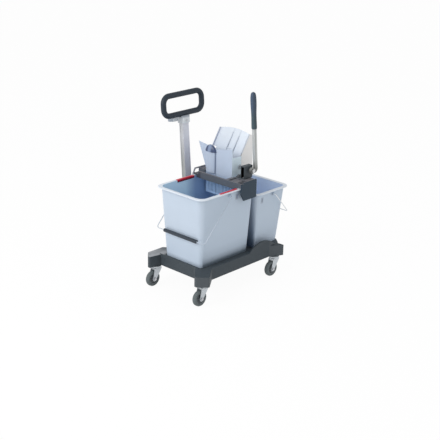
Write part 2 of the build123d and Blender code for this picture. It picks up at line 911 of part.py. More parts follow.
def press_hopper():
    """Pale chamber that hangs inside the bucket, with a wing at its far end and a half-round column."""
    seat = hopper_seat
    right = back_wall_x + hopper_wall
    overhang = right + side_wall_overhang
    overhang_low = frame_top + seat_gap
    side_top = large_rim + side_wall_rise
    back_top = large_rim + back_wall_rise
    back = block(back_wall_x, right, hopper_near, hopper_far, chamber_bottom, back_top)
    side_points = (
        (hopper_front, chamber_bottom),
        (right, chamber_bottom),
        (right, overhang_low),
        (overhang, overhang_low),
        (overhang, side_top - side_wall_slope),
        (chamber_front + side_wall_notch, side_top),
        (chamber_front, side_top + side_wall_notch),
        (hopper_front, side_top + side_wall_notch),
    )
    near_wall = outline_xz(side_points, hopper_near, -chamber_near)
    far_wall = outline_xz(side_points, chamber_far, hopper_far)
    shape = hopper_front_wall() + back + near_wall + far_wall
    flange_top = seat + flange_plate
    shape += block(hopper_front, right, hopper_near - flange_width, hopper_near + past, seat, flange_top)
    shape += block(hopper_front, right, hopper_far - past, hopper_far + flange_width, seat, flange_top)
    shape += half_round_column(seat)
    ledge_near = -chamber_near - past
    ledge_far = chamber_far + past
    for x0 in (chamber_front - past, back_wall_x - grid_ledge):
        x1 = x0 + grid_ledge + past
        shape += block(x0, x1, ledge_near, ledge_far, chamber_bottom, chamber_bottom + grid_ledge)
    shape -= drain_slots()
    for y in yoke_ys():
        window_near = y - yoke_thickness / 2 - window_gap
        window_far = y + yoke_thickness / 2 + crank_side_gap + crank_thickness + window_gap
        low = yoke_bottom - window_gap
        high = yoke_top + window_gap
        shape -= block(back_wall_x - past, right + past, window_near, window_far, low, high)
    bush = shaft_diameter / 2 + bush_wall + seat_gap
    shape -= rod((shaft_x, hopper_near - past, shaft_z), (shaft_x, -chamber_near + past, shaft_z), bush)
    shape -= rod((shaft_x, chamber_far - past, shaft_z), (shaft_x, hopper_far + past, shaft_z), bush)
    for side in (-1, 1):
        for z in tongue_heights():
            y0 = (hopper_near if side < 0 else chamber_far) - past
            slot_left = plate_x - press_travel - past
            slot_right = plate_x + plate_thickness + past
            half = plate_tongue / 2 + rest_gap
            shape -= block(slot_left, slot_right, y0, y0 + hopper_wall + 2 * past, z - half, z + half)
    for place in frame_screw_places():
        hole = frame_screw_diameter / 2 + seat_gap
        shape -= rod((*place, seat - past), (*place, seat + flange_plate + past), hole)
    return shape


def hopper_front_wall():
    """Front wall of the chamber: its top dips in the middle and runs out in a wing past the far end."""
    points = (
        (hopper_near, chamber_bottom),
        (hopper_near, large_rim + front_near_rise),
        (chamber_middle + front_dip_offset, large_rim + front_dip_rise),
        (hopper_far, large_rim + front_far_rise),
        (hopper_far + wing_reach, large_rim + wing_rise),
        (hopper_far, large_rim + wing_root_rise),
        (hopper_far, chamber_bottom),
    )
    face = make_face(Plane.YZ.offset(hopper_front) * Polyline(*points, close=True))
    return extrude(face, amount=hopper_wall, dir=(1, 0, 0))


def half_round_column(low):
    """Bulged channel up the front wall."""
    top = column_top
    outer = Ellipse(column_bulge, column_half_width)
    seam = hopper_front + hopper_wall / 2
    column = extrude(Pos(seam, column_y, low) * outer, amount=top - low)
    near = column_y - 2 * column_half_width
    far = column_y + 2 * column_half_width
    return column & block(hopper_front - 2 * column_bulge, seam, near, far, low, top)


def column_cap():
    """Dark domed cap on top of the column."""
    low = column_top + seat_gap
    dome = scale(Sphere(1), by=(column_cap_depth, column_cap_half_width, column_cap_height))
    room = scale(
        Sphere(1),
        by=(
            column_cap_depth - column_cap_wall,
            column_cap_half_width - column_cap_wall,
            column_cap_height - column_cap_wall,
        ),
    )
    place = Pos(hopper_front - seat_gap, column_y, low)
    reach = 2 * column_cap_height
    keep = block(
        hopper_front - reach, hopper_front - seat_gap, column_y - reach, column_y + reach, low, low + reach
    )
    return (place * (dome - room)) & keep


def drain_slots():
    """Row of upright slots low in the chamber's front wall."""
    low = chamber_bottom + grid_ledge + grid_plate + slot_lift
    first = -chamber_near + slot_pitch
    count = int((chamber_far + chamber_near - 2 * slot_pitch) / slot_pitch) + 1
    slots = []
    for index in range(count):
        y = first + index * slot_pitch
        near = y - slot_width / 2
        far = y + slot_width / 2
        high = low + slot_length
        slots.append(block(hopper_front - past, chamber_front + past, near, far, low, high))
    return slots


def drain_grid():
    """Slotted floor of the chamber, resting on two ledges."""
    low = chamber_bottom + grid_ledge
    left = chamber_front + seat_gap
    right = back_wall_x - seat_gap
    near = -chamber_near + seat_gap
    far = chamber_far - seat_gap
    shape = block(left, right, near, far, low, low + grid_plate)
    first = -chamber_near + slot_pitch
    count = int((chamber_far + chamber_near - 2 * slot_pitch) / slot_pitch) + 1
    for index in range(count):
        y = first + index * slot_pitch
        shape -= block(
            left + grid_ledge + grid_border,
            right - grid_ledge - grid_border,
            y - slot_width / 2,
            y + slot_width / 2,
            low - past,
            low + grid_plate + past,
        )
    return shape


# The crank pins stand above the shaft, half of the lever's range to either side of upright
crank_swing = radians(lever_range / 2)
crank_radius = press_travel / (2 * sin(crank_swing))
pin_x = shaft_x + crank_radius * sin(crank_swing)
pin_z = shaft_z + crank_radius * cos(crank_swing)
pin_top = shaft_z + crank_radius
yoke_bottom = shaft_z + shaft_diameter / 2 + yoke_shaft_gap
yoke_top = pin_top + crank_pin_diameter / 2 + yoke_crown
plate_x = back_wall_x - plate_back_gap - plate_thickness
plate_top = large_rim + back_wall_rise - plate_top_gap


def yoke_ys():
    return [chamber_middle - yoke_spacing / 2, chamber_middle + yoke_spacing / 2]


def tongue_heights():
    return [chamber_bottom + tongue_from_bottom, large_rim - tongue_from_rim]


def press_plate():
    """Moving plate with two tongues at each end that run in slots of the chamber."""
    near = -chamber_near + plate_side_gap
    far = chamber_far - plate_side_gap
    low = chamber_bottom + grid_ledge + grid_plate + plate_side_gap
    shape = block(plate_x, plate_x + plate_thickness, near, far, low, plate_top)
    for z in tongue_heights():
        half = plate_tongue / 2
        reach = plate_side_gap + hopper_wall
        shape += block(plate_x, plate_x + plate_thickness, near - reach, far + reach, z - half, z + half)
    for y in yoke_ys():
        z = (yoke_bottom + yoke_top) / 2
        hole = yoke_screw_diameter / 2 + seat_gap
        shape -= rod((plate_x - past, y, z), (plate_x + plate_thickness + past, y, z), hole)
    return shape


def plate_yokes():
    """Two lugs behind the plate, each with an upright slot for a crank pin."""
    left = plate_x + plate_thickness
    half_slot = crank_pin_diameter / 2 + crank_pin_slack
    screw_hole = yoke_screw_diameter / 2 + seat_gap
    right = pin_x + half_slot + yoke_end
    lugs = []
    for y in yoke_ys():
        y0 = y - yoke_thickness / 2
        y1 = y + yoke_thickness / 2
        lug_shape = block(left, right, y0, y1, yoke_bottom, yoke_top)
        low = pin_z - half_slot - crank_pin_slack
        high = pin_top + half_slot + crank_pin_slack
        lug_shape -= block(pin_x - half_slot, pin_x + half_slot, y0 - past, y1 + past, low, high)
        z = (yoke_bottom + yoke_top) / 2
        lug_shape -= rod((left - past, y, z), (left + yoke_screw_depth + seat_gap, y, z), screw_hole)
        lugs.append(lug_shape)
    return group(lugs)


def yoke_screws():
    """Countersunk screws through the plate into the yokes."""
    z = (yoke_bottom + yoke_top) / 2
    end = plate_x + plate_thickness + yoke_screw_depth
    return group(rod((plate_x, y, z), (end, y, z), yoke_screw_diameter / 2) for y in yoke_ys())


# Places along the shaft, from the far end to the lever
bracket_far = hopper_near - flange_width - bracket_gap
lever_bracket_near = -apron_outer + bracket_from_apron
bracket_right = shaft_x + bush_flange_diameter / 2 + bracket_flange_gap + bracket_plate
bracket_left = shaft_x - bush_flange_diameter / 2 - bracket_flange_gap - bracket_plate - bracket_shoulder
lever_y = lever_bracket_near - lever_gap - lever_width_y / 2
shaft_near = lever_y - lever_width_y / 2 - rest_gap
shaft_far = hopper_far + bush_flange + shaft_end


def lever_shaft():
    return rod((shaft_x, shaft_near, shaft_z), (shaft_x, shaft_far, shaft_z), shaft_diameter / 2)


def bush(y0, y1, flange_y, outward):
    """Flanged plain bearing for the shaft."""
    outer = shaft_diameter / 2 + bush_wall
    shape = rod((shaft_x, y0, shaft_z), (shaft_x, y1, shaft_z), outer)
    flange_end = flange_y + outward * bush_flange
    shape += rod((shaft_x, flange_y, shaft_z), (shaft_x, flange_end, shaft_z), bush_flange_diameter / 2)
    low = min(y0, y1) - 2 * bush_flange
    high = max(y0, y1) + 2 * bush_flange
    return shape - rod((shaft_x, low, shaft_z), (shaft_x, high, shaft_z), shaft_diameter / 2 + running_gap)


def shaft_bushes():
    return group(
        (
            bush(chamber_far, hopper_far + seat_gap, hopper_far + seat_gap, 1),
            bush(hopper_near - seat_gap, -chamber_near, hopper_near - seat_gap, -1),
            bush(
                lever_bracket_near,
                lever_bracket_near + bracket_plate + seat_gap,
                lever_bracket_near + bracket_plate + seat_gap,
                1,
            ),
        )
    )


def lever_bracket():
    """Dark hood on the near platform, open to the left. Its near plate carries the shaft."""
    seat = frame_top + seat_gap
    near = lever_bracket_near
    left = bracket_left
    right = bracket_right
    top = shaft_z + bracket_crown
    hood_far = near + bracket_depth
    shape = block(left, right, near, bracket_far, seat, seat + bracket_plate)
    shape += block(right - bracket_plate, right, near, hood_far, seat, top)
    shape += block(left, right, near, near + bracket_plate, seat, top)
    shape += block(left, right, near, hood_far, top - bracket_plate, top)
    shape += block(left, right, hood_far - bracket_plate, hood_far, seat, top)
    hole = shaft_diameter / 2 + bush_wall + seat_gap
    shape -= rod((shaft_x, near - past, shaft_z), (shaft_x, hood_far + past, shaft_z), hole)
    screw_hole = frame_screw_diameter / 2 + seat_gap
    for place in bracket_screw_places():
        shape -= rod((*place, seat - past), (*place, seat + bracket_plate + past), screw_hole)
    return shape


def bracket_screw_places():
    x = bracket_left + bracket_plate + frame_screw_head / 2 + rest_gap
    return [(x, lever_bracket_near + bracket_plate + frame_screw_head), (x, bracket_far - frame_screw_head)]


def frame_screw_places():
    y_near = hopper_near - flange_width / 2 - frame_side_gap
    y_far = hopper_far + flange_width / 2
    left = hopper_front + frame_screw_head
    right = back_wall_x + hopper_wall - frame_screw_head
    return [(x, y) for x in (left, right) for y in (y_near, y_far)]


def frame_screws():
    """Screws that hold the hopper's flanges and the bracket's foot on the frame."""
    hopper_top = hopper_seat + flange_plate
    bracket_top = frame_top + seat_gap + bracket_plate
    screws = []
    for places, face in ((frame_screw_places(), hopper_top), (bracket_screw_places(), bracket_top)):
        for x, y in places:
            top = face + seat_gap
            head = rod((x, y, top), (x, y, top + frame_screw_head_height), frame_screw_head / 2)
            tip = frame_top - frame_screw_length + frame_screw_slack
            screws.append(head + rod((x, y, top + past), (x, y, tip), frame_screw_diameter / 2))
    return group(screws)


# The back panel starts at a shelf above the chamber's back wall and leans away
panel_low = large_rim + back_wall_rise + seat_gap
panel_foot_x = back_wall_x + hopper_wall + panel_set_back
panel_run = panel_length * sin(radians(panel_lean))
panel_rise = panel_length * cos(radians(panel_lean))


def back_panel():
    """Tall leaning plate: crowned top edge, shelf at its foot, raised side rims and two ribs."""
    near = -chamber_near + seat_gap
    far = chamber_far - seat_gap
    wide_near = near - panel_spread_near
    wide_far = far + panel_spread_far
    crown_tip = ((wide_near + wide_far) / 2, panel_length + panel_crown)
    crown = ThreePointArc((wide_near, panel_length), crown_tip, (wide_far, panel_length))
    sides = Polyline(
        (wide_far, panel_length),
        (wide_far, panel_straight),
        (far, panel_straight),
        (far, 0),
        (near, 0),
        (near, panel_straight),
        (wide_near, panel_straight),
        (wide_near, panel_length),
    )
    flat = extrude(make_face(crown + sides), amount=panel_plate)
    inside = panel_plate / 2
    for y0 in (wide_near, wide_far - panel_rim_width):
        y1 = y0 + panel_rim_width
        flat += block(y0, y1, panel_straight, panel_length, -panel_rim_height, inside)
    near_rib = chamber_middle + near_rib_offset
    far_rib = chamber_middle + far_rib_offset
    half = panel_rib_width / 2
    foot = far_rib_low + panel_rib_width
    flat += block(near_rib - half, near_rib + half, near_rib_low, near_rib_high, -panel_rib_height, inside)
    flat += block(far_rib - half, far_rib + half, far_rib_low, far_rib_high, -panel_rib_height, inside)
    flat += block(far_rib - rib_foot_length, far_rib, far_rib_low, foot, -panel_rib_height, inside)
    lean = radians(panel_lean)
    tilted = Plane(origin=(panel_foot_x, 0, panel_low), x_dir=(0, 1, 0), z_dir=(cos(lean), 0, -sin(lean)))
    shape = tilted * flat
    shelf_right = panel_foot_x + panel_plate / cos(lean)
    shape += block(back_wall_x, shelf_right, near, far, panel_low, panel_low + panel_plate)
    left = panel_foot_x - panel_plate
    right = shelf_right + panel_plate
    return shape - block(left, right, near, far, panel_low - 2 * panel_plate, panel_low)


# The foot of the rear cover and its screw heads stay clear of the small bucket's lip as that is lifted out
cover_foot_right = small_mouth_left - small_lip_left - lift_gap - cover_screw_head_height - seat_gap


def cover_points():
    """Side outline of the rear cover, behind the leaning panel."""
    low = frame_top + rest_gap
    left = back_wall_x + hopper_wall + side_wall_overhang + rest_gap
    top_x = panel_foot_x + panel_run
    top_z = panel_low + panel_rise
    gap = (panel_plate + rest_gap) / cos(radians(panel_lean))
    slope = panel_rise / panel_run
    left_top = panel_low + (left - panel_foot_x - gap) * slope
    cover_top = top_z - cover_drop
    return (
        (left, low),
        (cover_foot_right, low),
        (cover_foot_right, low + cover_foot_height),
        (top_x + cover_depth, large_rim + cover_knee_rise),
        (top_x + cover_depth, cover_top),
        (panel_foot_x + gap + (cover_top - panel_low) / slope, cover_top),
        (left, left_top),
    )


def rear_cover():
    """Pale cover behind the panel: two side gussets and a folded rear wall."""
    points = cover_points()
    _, (foot_x, low), (_, foot_top), (rear_x, knee_z), (_, top), (front_x, _), _ = points
    slope = (knee_z - foot_top) / (rear_x - foot_x)
    fold = cover_plate * ((1 + slope**2) ** 0.5 - slope)
    wall_points = (
        (foot_x, low),
        (foot_x, foot_top),
        (rear_x, knee_z),
        (rear_x, top),
        (front_x, top),
        (front_x, top - cover_plate),
        (rear_x - cover_plate, top - cover_plate),
        (rear_x - cover_plate, knee_z + fold),
        (foot_x - cover_plate, foot_top + fold),
        (foot_x - cover_plate, low),
    )
    shape = outline_xz(wall_points, hopper_near, hopper_far)
    shape += outline_xz(points, hopper_near, -chamber_near)
    shape += outline_xz(points, chamber_far, hopper_far)
    for x, y, z in cover_screw_places():
        shape -= rod((x - 2 * cover_plate, y, z), (x + past, y, z), cover_screw_diameter / 2 + seat_gap)
    return shape


def cover_screw_places():
    points = cover_points()
    x = points[1][0]
    z = (points[1][1] + points[2][1]) / 2
    return [(x, -chamber_near + cover_screw_inset, z), (x, chamber_far - cover_screw_inset, z)]


def cover_screws():
    """Pan head screws through the cover's lower edge."""
    screws = []
    for x, y, z in cover_screw_places():
        face = x + seat_gap
        head = rod((face, y, z), (face + cover_screw_head_height, y, z), cover_screw_head / 2)
        screws.append(head + rod((x - cover_plate, y, z), (face + past, y, z), cover_screw_diameter / 2))
    return group(screws)


def lever_path_points():
    """Lever's line from the shaft down to its foot bend and up to the grip's top."""
    bend_x = shaft_x + lever_foot_reach
    bend_z = shaft_z - lever_foot_drop
    top_z = shaft_z + lever_rise
    top_x = bend_x - (top_z - bend_z) * sin(radians(lever_lean)) / cos(radians(lever_lean))
    return ((shaft_x, lever_y, shaft_z), (bend_x, lever_y, bend_z), (top_x, lever_y, top_z))


def lever_arm():
    """Aluminium bar with a hooked foot and an eye on the shaft."""
    start, bend, top = lever_path_points()
    direction = (Vector(top) - Vector(bend)).normalized()
    end = Vector(top) - direction * (lever_grip_diameter / 2)
    bar = bent_bar((start, bend, tuple(end)), lever_bend, Rectangle(lever_width_y, lever_width_x))
    half = lever_width_y / 2
    eye = rod((shaft_x, lever_y - half, shaft_z), (shaft_x, lever_y + half, shaft_z), lever_eye_diameter / 2)
    hole = shaft_diameter / 2 + running_gap
    near = lever_y - half - past
    far = lever_y + half + past
    return bar + eye - rod((shaft_x, near, shaft_z), (shaft_x, far, shaft_z), hole)


def lever_grip():
    """Slate grip pushed over the top of the lever."""
    _, bend, top = lever_path_points()
    direction = (Vector(top) - Vector(bend)).normalized()
    radius = lever_grip_diameter / 2
    low = Vector(top) - direction * lever_grip_length
    high = Vector(top) - direction * radius
    body = rod(tuple(low), tuple(high), radius) + Pos(*high) * Sphere(radius)
    start = Plane(origin=low - direction * past, x_dir=(0, 1, 0), z_dir=direction)
    bore = Rectangle(lever_width_y + 2 * running_gap, lever_width_x + 2 * running_gap)
    length = lever_grip_length - radius + past + seat_gap
    return body - extrude(start * bore, amount=length)


def lever_bolt():
    """Button head bolt in the near end of the shaft."""
    y = lever_y - lever_width_y / 2 - rest_gap - seat_gap
    return rod((shaft_x, y, shaft_z), (shaft_x, y - lever_bolt_height, shaft_z), lever_bolt_diameter / 2)


def crank_arms():
    """Two arms clamped on the shaft beside the yokes."""
    arms = []
    clamp = crank_clamp_diameter / 2
    for y in yoke_ys():
        y0 = y + yoke_thickness / 2 + crank_side_gap
        y1 = y0 + crank_thickness
        shape = rod((shaft_x, y0, shaft_z), (shaft_x, y1, shaft_z), clamp)
        shape += rod((pin_x, y0, pin_z), (pin_x, y1, pin_z), crank_pin_diameter)
        turn = Pos(shaft_x, 0, shaft_z) * Rot(0, degrees(crank_swing), 0)
        width = crank_pin_diameter
        shape += turn * block(-width, width, y0, y1, 0, crank_radius)
        low = y0 - past
        high = y1 + past
        shape -= rod((shaft_x, low, shaft_z), (shaft_x, high, shaft_z), shaft_diameter / 2 + running_gap)
        shape -= rod((pin_x, low, pin_z), (pin_x, high, pin_z), crank_pin_diameter / 2 + running_gap)
        arms.append(shape)
    return group(arms)


def crank_pins():
    """Pins from the arms through the yokes' slots."""
    pins = []
    for y in yoke_ys():
        y0 = y - yoke_thickness / 2 - crank_pin_slack
        y1 = y + yoke_thickness / 2 + crank_side_gap + crank_thickness
        pins.append(rod((pin_x, y0, pin_z), (pin_x, y1, pin_z), crank_pin_diameter / 2))
    return group(pins)


pieces = {
    "base_deck": base_deck(),
    "handle_post": handle_post(),
    "post_screws": post_screws(),
    "handle_collar": handle_collar(),
    "collar_screw": collar_screw(),
    "handle_loop": handle_loop(),
    "tool_holder": tool_holder(),
    "large_bucket": bucket(
        large, large_lip_left, large_lip_right, large_pivot_x, large_half - large_mark_from_end
    ),
    "small_bucket": bucket(
        small, small_lip_left, small_lip_right, small_pivot_x, small_mouth_left + small_mark_from_end
    ),
    "large_bail": bail(large_bail_points),
    "large_bail_grip": bail_grip(large_bail_points, large_sleeve_length),
    "small_bail": bail(small_bail_points),
    "small_bail_grip": bail_grip(small_bail_points, small_sleeve_length),
    "front_colour_clip": colour_clip(-1),
    "rear_colour_clip": colour_clip(1),
    "press_frame": press_frame(),
    "press_hopper": press_hopper(),
    "column_cap": column_cap(),
    "drain_grid": drain_grid(),
    "back_panel": back_panel(),
    "rear_cover": rear_cover(),
    "cover_screws": cover_screws(),
    "lever_bracket": lever_bracket(),
    "frame_screws": frame_screws(),
    "shaft_bushes": shaft_bushes(),
    "lever_shaft": lever_shaft(),
    "lever_arm": lever_arm(),
    "lever_grip": lever_grip(),
    "lever_bolt": lever_bolt(),
    "crank_arms": crank_arms(),
    "crank_pins": crank_pins(),
    "press_plate": press_plate(),
    "plate_yokes": plate_yokes(),
    "yoke_screws": yoke_screws(),
}
for side, x in swivel_xs.items():
    for end, y in swivel_ys.items():
        pieces[f"caster_stem_{side}_{end}"] = caster_stem(x, y)
        pieces[f"caster_fork_{side}_{end}"] = caster_fork(x, y)
        pieces[f"caster_axle_{side}_{end}"] = caster_axle(x, y)
        pieces[f"caster_hub_{side}_{end}"] = caster_hub(x, y)
        pieces[f"caster_tyre_{side}_{end}"] = caster_tyre(x, y)

# Shift the origin to the bottom centre of the whole trolley
boxes = [piece.bounding_box() for piece in pieces.values()]
origin_x = (min(box.min.X for box in boxes) + max(box.max.X for box in boxes)) / 2
origin_y = (min(box.min.Y for box in boxes) + max(box.max.Y for box in boxes)) / 2
to_origin = Location((-origin_x, -origin_y, 0))

os.makedirs("parts", exist_ok=True)
for name, piece in pieces.items():
    solids = [solid.moved(to_origin) for solid in piece.solids()]
    export_step(solids[0] if len(solids) == 1 else group(solids), f"parts/{name}.step")
print("pieces", len(pieces), "origin", round(origin_x, 3), round(origin_y, 3))
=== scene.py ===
import json
from math import cos, inf, pi, radians, sin, tan

import bmesh
import bpy
from mathutils import Matrix, Vector


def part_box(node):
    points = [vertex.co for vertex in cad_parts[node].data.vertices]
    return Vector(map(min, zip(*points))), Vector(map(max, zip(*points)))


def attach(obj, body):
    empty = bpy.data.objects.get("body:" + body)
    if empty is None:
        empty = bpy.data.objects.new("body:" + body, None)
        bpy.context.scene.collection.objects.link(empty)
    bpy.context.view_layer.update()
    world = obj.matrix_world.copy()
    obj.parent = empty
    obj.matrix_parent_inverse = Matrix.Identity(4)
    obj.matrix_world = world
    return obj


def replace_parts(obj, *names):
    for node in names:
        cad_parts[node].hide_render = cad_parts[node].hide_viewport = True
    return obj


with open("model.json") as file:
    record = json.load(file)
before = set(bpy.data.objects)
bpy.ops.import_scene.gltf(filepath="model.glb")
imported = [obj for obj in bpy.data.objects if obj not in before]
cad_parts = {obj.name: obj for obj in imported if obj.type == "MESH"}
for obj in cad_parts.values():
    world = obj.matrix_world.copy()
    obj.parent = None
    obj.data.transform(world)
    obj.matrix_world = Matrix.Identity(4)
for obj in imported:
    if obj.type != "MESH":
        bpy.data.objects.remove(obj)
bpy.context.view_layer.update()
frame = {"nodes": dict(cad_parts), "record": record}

nodes = frame["nodes"]
slot_of = {part["node"]: part["material_slot"] for part in frame["record"]["subparts"]}
bodies = frame["record"]["behaviour"]["bodies"]
body_of = {node: body for body, group in bodies.items() for node in group}
mm = 0.001

# Camera: turned about Z, raised, slightly rolled, and aimed at a point on the trolley
camera_turn = radians(-46.8)
camera_rise = radians(20.5)
camera_roll = radians(1.13)
camera_distance = 4.566
camera_aim = Vector((-0.02725, -0.062181, 0.307))
camera_lens = 80.6
camera_sensor = 36
camera_reach = 100

# Studio: a white surround, two lamps with their place, size and power in metres and watts, and a wide
# floor with a share of plain white in its look, which leaves the trolley a soft shadow
surround_strength = 0.7
lamps = {"key": ((-3.0, 0.4, 2.4), 2.0, 58), "fill": ((1.6, -3.2, 2.2), 2.6, 9)}
lamp_aim = Vector((0, 0, 0.4))
floor_width = 40
floor_white = 0.95

# How copies of CAD pieces are joined and rounded
weld = 0.02 * mm
flat_angle = radians(0.8)
corner_angle = radians(35)
least_face = 18 * mm * mm

# Sizes and places that a piece shares with its finish
lever_lean = radians(5)
hood_depth = 24 * mm
panel_ribs_y = (-30.2 * mm, 11.8 * mm)
mark_places = {"large_bucket": (-36.25 * mm, 452 * mm), "small_bucket": (142.75 * mm, 389 * mm)}


class Value:
    """One value in a material. Arithmetic on it adds Math nodes."""

    def __init__(self, finish, socket):
        self.finish = finish
        self.socket = socket

    def math(self, operation, first, second=0.0):
        return self.finish.node("ShaderNodeMath", {"operation": operation}, {0: first, 1: second})

    def __add__(self, other):
        return self.math("ADD", self, other)

    __radd__ = __add__

    def __sub__(self, other):
        return self.math("SUBTRACT", self, other)

    def __rsub__(self, other):
        return self.math("SUBTRACT", other, self)

    def __mul__(self, other):
        return self.math("MULTIPLY", self, other)

    __rmul__ = __mul__

    def __abs__(self):
        return self.math("ABSOLUTE", self)


class Finish:
    """A material and the nodes that make its surface."""

    def __init__(self, name, **fixed):
        self.material = bpy.data.materials.new(name)
        self.material.use_nodes = True
        self.tree = self.material.node_tree
        self.shader = self.tree.nodes["Principled BSDF"]
        for socket, value in fixed.items():
            self.set(socket, value)

    def feed(self, socket, value):
        if isinstance(value, Value):
            self.tree.links.new(value.socket, socket)
        else:
            socket.default_value = value

    def set(self, socket, value):
        self.feed(self.shader.inputs[socket], value)

    def node(self, kind, settings=None, sockets=None, output=0):
        """Adds a node: its settings first, then the values or links of its sockets."""
        made = self.tree.nodes.new(kind)
        for name, value in (settings or {}).items():
            setattr(made, name, value)
        for name, value in (sockets or {}).items():
            self.feed(made.inputs[name], value)
        return Value(self, made.outputs[output])

    def place(self):
        return self.node("ShaderNodeTexCoord", output="Object")

    def spot(self, axis):
        """X, Y or Z of the place on the trolley, in metres."""
        return self.node("ShaderNodeSeparateXYZ", None, {0: self.place()}, output=axis)

    def facing(self, axis):
        """How far the surface faces along X, Y or Z, from -1 to 1."""
        normal = self.node("ShaderNodeNewGeometry", output="Normal")
        return self.node("ShaderNodeSeparateXYZ", None, {0: normal}, output=axis)

    def noise(self, scale, detail=3, stretch=(1, 1, 1), rough=0.5):
        stretched = self.node("ShaderNodeMapping", None, {"Vector": self.place(), "Scale": stretch})
        sockets = {"Vector": stretched, "Scale": scale, "Detail": detail, "Roughness": rough}
        return self.node("ShaderNodeTexNoise", None, sockets)

    def span(self, value, low, high, to_low=0.0, to_high=1.0):
        """Maps a range of a value onto another range, held at its ends."""
        sockets = {"Value": value, 1: low, 2: high, 3: to_low, 4: to_high}
        return self.node("ShaderNodeMapRange", {"clamp": True}, sockets)

    def fade(self, axis, full, gone, most=1.0, least=0.0):
        """Falls from most at one place along an axis to least at another."""
        return self.span(self.spot(axis), full, gone, most, least)

    def faces(self, axis, full, gone, most=1.0):
        """Falls from most where the surface faces one way along an axis to 0 where it faces another."""
        return self.span(self.facing(axis), full, gone, most, 0.0)

    def band(self, distance, full, gone):
        """1 within one distance either side of a place, falling to 0 at another."""
        return self.span(abs(distance), full, gone, 1.0, 0.0)

    def dust_and_sheen_patches(self, least):
        """Uneven patches on the faces that lie flat, used for dust and for a painted sheen."""
        patch = self.span(self.noise(scale=26, detail=5), 0.3, 0.75, least, 1.0)
        return patch * self.faces("Z", full=0.98, gone=0.75)

    def mix(self, share, first, second):
        """Colour between two colours."""
        sockets = {0: share, 6: first, 7: second}
        return self.node("ShaderNodeMix", {"data_type": "RGBA"}, sockets, output=2)

    def bump(self, height, depth):
        """Raises the surface by a height pattern, depth in metres."""
        sockets = {"Height": height, "Distance": depth, "Strength": 1.0}
        self.set("Normal", self.node("ShaderNodeBump", None, sockets))


def tint(red, green, blue):
    """Linear colour from 8-bit screen values."""

    def linear(value):
        share = value / 255
        return share / 12.92 if share <= 0.04045 else ((share + 0.055) / 1.055) ** 2.4

    return (linear(red), linear(green), linear(blue), 1.0)


def shade(color, factor):
    return tuple(min(1.0, part * factor) for part in color[:3]) + (1.0,)


def moulded(
    name,
    color,
    rough,
    grain=620,
    grain_depth=0.06 * mm,
    mottle=0.05,
    scuff_top=0.0,
    dust=None,
    marked=None,
    ior=1.46,
):
    """Moulded plastic: mottle, fine grain, pale scuffs up to a height, dust on top faces, tinted places."""
    finish = Finish(name, IOR=ior)
    cloud = finish.noise(scale=9, detail=4)
    base = finish.mix(finish.span(cloud, 0.3, 0.7), shade(color, 1 - mottle), shade(color, 1 + mottle))
    if marked:
        base = marked(finish, base)
    if scuff_top:
        streak = finish.span(finish.noise(scale=60, detail=6, stretch=(1, 1, 0.25), rough=0.7), 0.56, 0.72)
        low = finish.fade("Z", full=scuff_top * 0.45, gone=scuff_top, most=0.35)
        base = finish.mix(streak * low, base, shade(color, 1.35))
    if dust:
        base = finish.mix(finish.dust_and_sheen_patches(least=0.55), base, dust)
    finish.set("Base Color", base)
    finish.set("Roughness", finish.span(cloud, 0.3, 0.7, rough - 0.05, rough + 0.06))
    finish.bump(finish.noise(scale=grain, detail=2), grain_depth)
    return finish.material


def bucket_moulded(name, color, rough, mottle=0.02, grain_depth=0.03 * mm, marked=None):
    """Smooth plastic of the buckets, with a finer grain than the other mouldings."""
    return moulded(name, color, rough, 800, grain_depth, mottle, marked=marked)


def plated(name, color, rough, streak=(1, 1, 1), scale=120, metallic=1.0, marked=None):
    """Bright metal with uneven polish, drawn along one direction where streak says so, tinted places."""
    finish = Finish(name, Metallic=metallic)
    grain = finish.noise(scale, 4, streak)
    cloud = finish.noise(scale=14, detail=3)
    base = finish.mix(finish.span(cloud, 0.35, 0.65), shade(color, 0.93), color)
    if marked:
        base = marked(finish, base)
    finish.set("Base Color", base)
    finish.set("Roughness", finish.span(grain, 0.3, 0.7, rough - 0.08, rough + 0.1))
    finish.bump(grain, 0.03 * mm)
    return finish.material


def rubber(name, color, rough, dust=0.15, marked=None):
    """Dull rubber with a little dust in its grain, and tinted places."""
    finish = Finish(name, IOR=1.4)
    cloud = finish.noise(scale=40, detail=5)
    base = marked(finish, color) if marked else color
    dusty = finish.span(cloud, 0.35, 0.7) * dust
    finish.set("Base Color", finish.mix(dusty, base, shade(color, 1.9)))
    finish.set("Roughness", finish.span(cloud, 0.3, 0.7, rough - 0.06, rough + 0.06))
    finish.bump(finish.noise(scale=900, detail=2), 0.08 * mm)
    return finish.material


def ear_painted_light(finish, base):
    """Painted light on the front ears' upright faces, and a patchy painted sheen on the rear left ear's top.
    """
    low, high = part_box("base_deck")
    left_ear = finish.fade("X", full=low.x + 95 * mm, gone=low.x + 120 * mm)
    right_ear = finish.fade("X", full=high.x - 88 * mm, gone=high.x - 98 * mm)
    front = finish.fade("Y", full=-135 * mm, gone=-115 * mm)
    upright = finish.band(finish.facing("Z"), full=0.5, gone=0.8)
    # Painted light on the upright faces of the front ears
    base = finish.mix((left_ear + right_ear) * front * upright, base, tint(77, 83, 88))
    left = finish.fade("X", full=low.x + 70 * mm, gone=low.x + 150 * mm)
    rear = finish.fade("Y", full=90 * mm, gone=70 * mm)
    # Patchy painted sheen on top of the rear left ear
    return finish.mix(left * rear * finish.dust_and_sheen_patches(least=0.6), base, tint(172, 175, 179))


